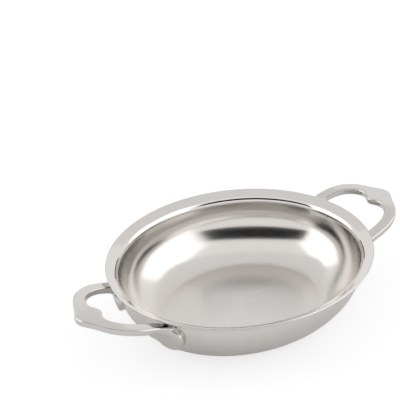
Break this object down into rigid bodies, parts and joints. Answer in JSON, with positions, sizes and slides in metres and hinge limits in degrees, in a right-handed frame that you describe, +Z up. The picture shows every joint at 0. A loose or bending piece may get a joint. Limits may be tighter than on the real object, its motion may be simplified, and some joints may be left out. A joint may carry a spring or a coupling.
{
  "type": "oval baking dish",
  "caption": "Oval clad stainless steel baking dish with a flared lip, curved walls, a flat floor and a cast loop handle at each end.",
  "frame": {"origin": "middle of the flat floor's underside, on the surface that the dish stands on", "axes": "+Z up out of the dish; +X along the long axis, towards the right-hand handle; +Y across the dish"},
  "size_m": [0.2818, 0.176, 0.0494],
  "materials": {
    "stainless_sheet": "satin",
    "aluminium_core": "satin",
    "cast_stainless": "polished",
    "weld_metal": "satin"
  },
  "bodies": {
    "root": {"exterior_ply": "stainless_sheet", "aluminium_core": "aluminium_core", "cooking_surface": "stainless_sheet", "right_handle": "cast_stainless", "left_handle": "cast_stainless", "right_front_weld": "weld_metal", "right_back_weld": "weld_metal", "left_front_weld": "weld_metal", "left_back_weld": "weld_metal"}
  },
  "joints": []
}
